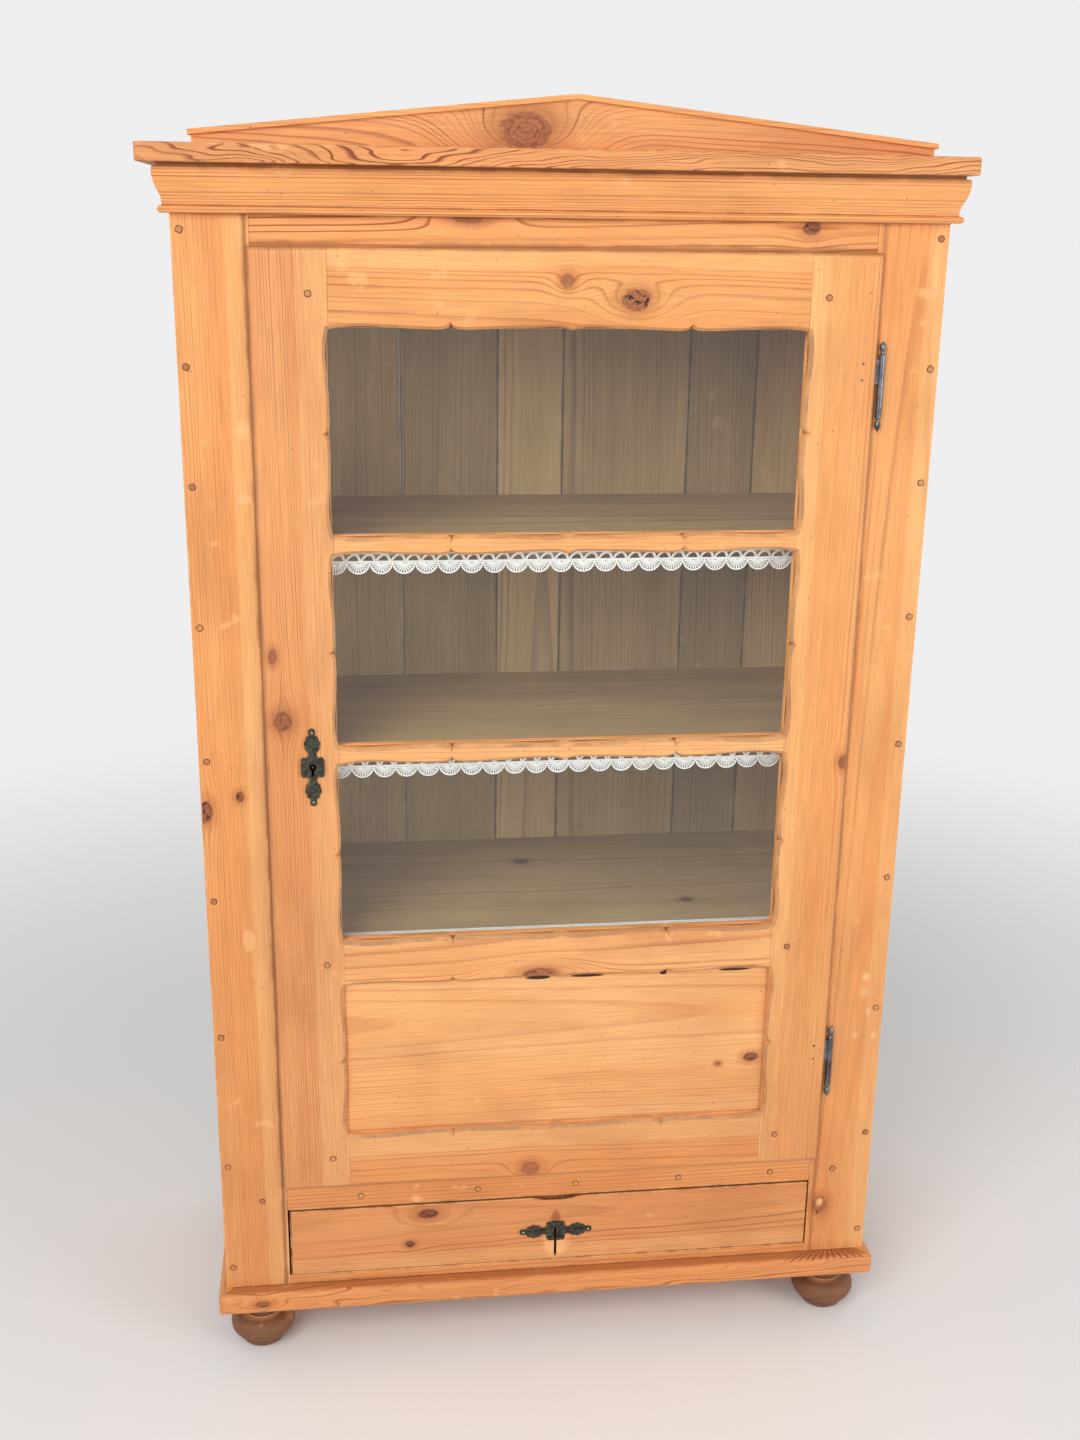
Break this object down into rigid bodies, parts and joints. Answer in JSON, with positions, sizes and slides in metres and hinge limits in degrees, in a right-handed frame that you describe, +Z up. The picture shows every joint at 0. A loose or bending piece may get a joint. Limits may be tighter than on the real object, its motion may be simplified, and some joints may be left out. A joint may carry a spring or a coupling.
{
  "type": "display cabinet",
  "caption": "Pine display cabinet on bun feet with a glazed, panelled door, a drawer below it, a low pediment and lace-edged shelves.",
  "frame": {"origin": "on the floor, in the middle of the cabinet's plan", "axes": "+Z up, the door and drawer face -Y, +X to the right as seen from the front"},
  "size_m": [0.974, 0.42, 1.6815],
  "materials": {
    "honey_pine": "old waxed pine, honey orange with reddish grain and knots",
    "inside_pine": "raw aged pine, grey tan",
    "foot_wood": "turned and stained, browner than the boards",
    "peg_wood": "end grain, slightly darker than the boards",
    "pane_glass": "clear old window glass with slight waves",
    "lace_cotton": "white crocheted cotton",
    "hinge_steel": "bare worn steel",
    "plate_bronze": "dark green-grey patina with bright rubbed spots",
    "lock_iron": "dark iron"
  },
  "bodies": {
    "carcass": {"back_boards": "inside_pine", "back_nails": "lock_iron", "base_front": "honey_pine", "base_left": "honey_pine", "base_right": "honey_pine", "bottom_board": "inside_pine", "cornice_front": "honey_pine", "cornice_left": "honey_pine", "cornice_right": "honey_pine", "drawer_guides": "inside_pine", "drawer_rail": "honey_pine", "face_stile_left": "honey_pine", "face_stile_right": "honey_pine", "floor_board": "inside_pine", "foot_back_left": "foot_wood", "foot_back_right": "foot_wood", "foot_front_left": "foot_wood", "foot_front_right": "foot_wood", "frame_pegs": "peg_wood", "frieze_rail": "honey_pine", "hinge_frame_halves": "hinge_steel", "lace_lower": "lace_cotton", "lace_middle": "lace_cotton", "lace_upper": "lace_cotton", "pediment_blocks": "inside_pine", "pediment_board": "honey_pine", "pediment_rakes": "honey_pine", "shelf_cleats": "inside_pine", "shelf_lower": "inside_pine", "shelf_middle": "inside_pine", "shelf_upper": "inside_pine", "side_left": "honey_pine", "side_right": "honey_pine", "top_board": "honey_pine"},
    "door": {"door_bar_lower": "honey_pine", "door_bar_upper": "honey_pine", "door_bottom_rail": "honey_pine", "door_keyhole_plate": "plate_bronze", "door_lock": "lock_iron", "door_mid_rail": "honey_pine", "door_panel": "honey_pine", "door_pegs": "peg_wood", "door_stile_hinge": "honey_pine", "door_stile_lock": "honey_pine", "door_top_rail": "honey_pine", "glass_lower": "pane_glass", "glass_middle": "pane_glass", "glass_upper": "pane_glass", "glazing_beads": "honey_pine", "hinge_door_halves": "hinge_steel"},
    "door_bolt": {"door_bolt": "lock_iron"},
    "drawer": {"drawer_back": "inside_pine", "drawer_bottom": "inside_pine", "drawer_front": "honey_pine", "drawer_keyhole_plate": "plate_bronze", "drawer_lock": "lock_iron", "drawer_side_left": "inside_pine", "drawer_side_right": "inside_pine"},
    "drawer_bolt": {"drawer_bolt": "lock_iron"}
  },
  "joints": [
    {"name": "door_hinge", "type": "hinge", "parent": "carcass", "child": "door", "pos_m": [0.386, -0.1855, 0.8885], "axis": [0, 0, 1], "range_deg": [0, 165]},
    {"name": "drawer_slide", "type": "slide", "parent": "carcass", "child": "drawer", "axis": [0, -1, 0], "range_m": [0, 0.27]},
    {"name": "door_lock_throw", "type": "slide", "parent": "door", "child": "door_bolt", "axis": [-1, 0, 0], "range_m": [0, 0.011]},
    {"name": "drawer_lock_throw", "type": "slide", "parent": "drawer", "child": "drawer_bolt", "axis": [0, 0, 1], "range_m": [0, 0.011]}
  ]
}
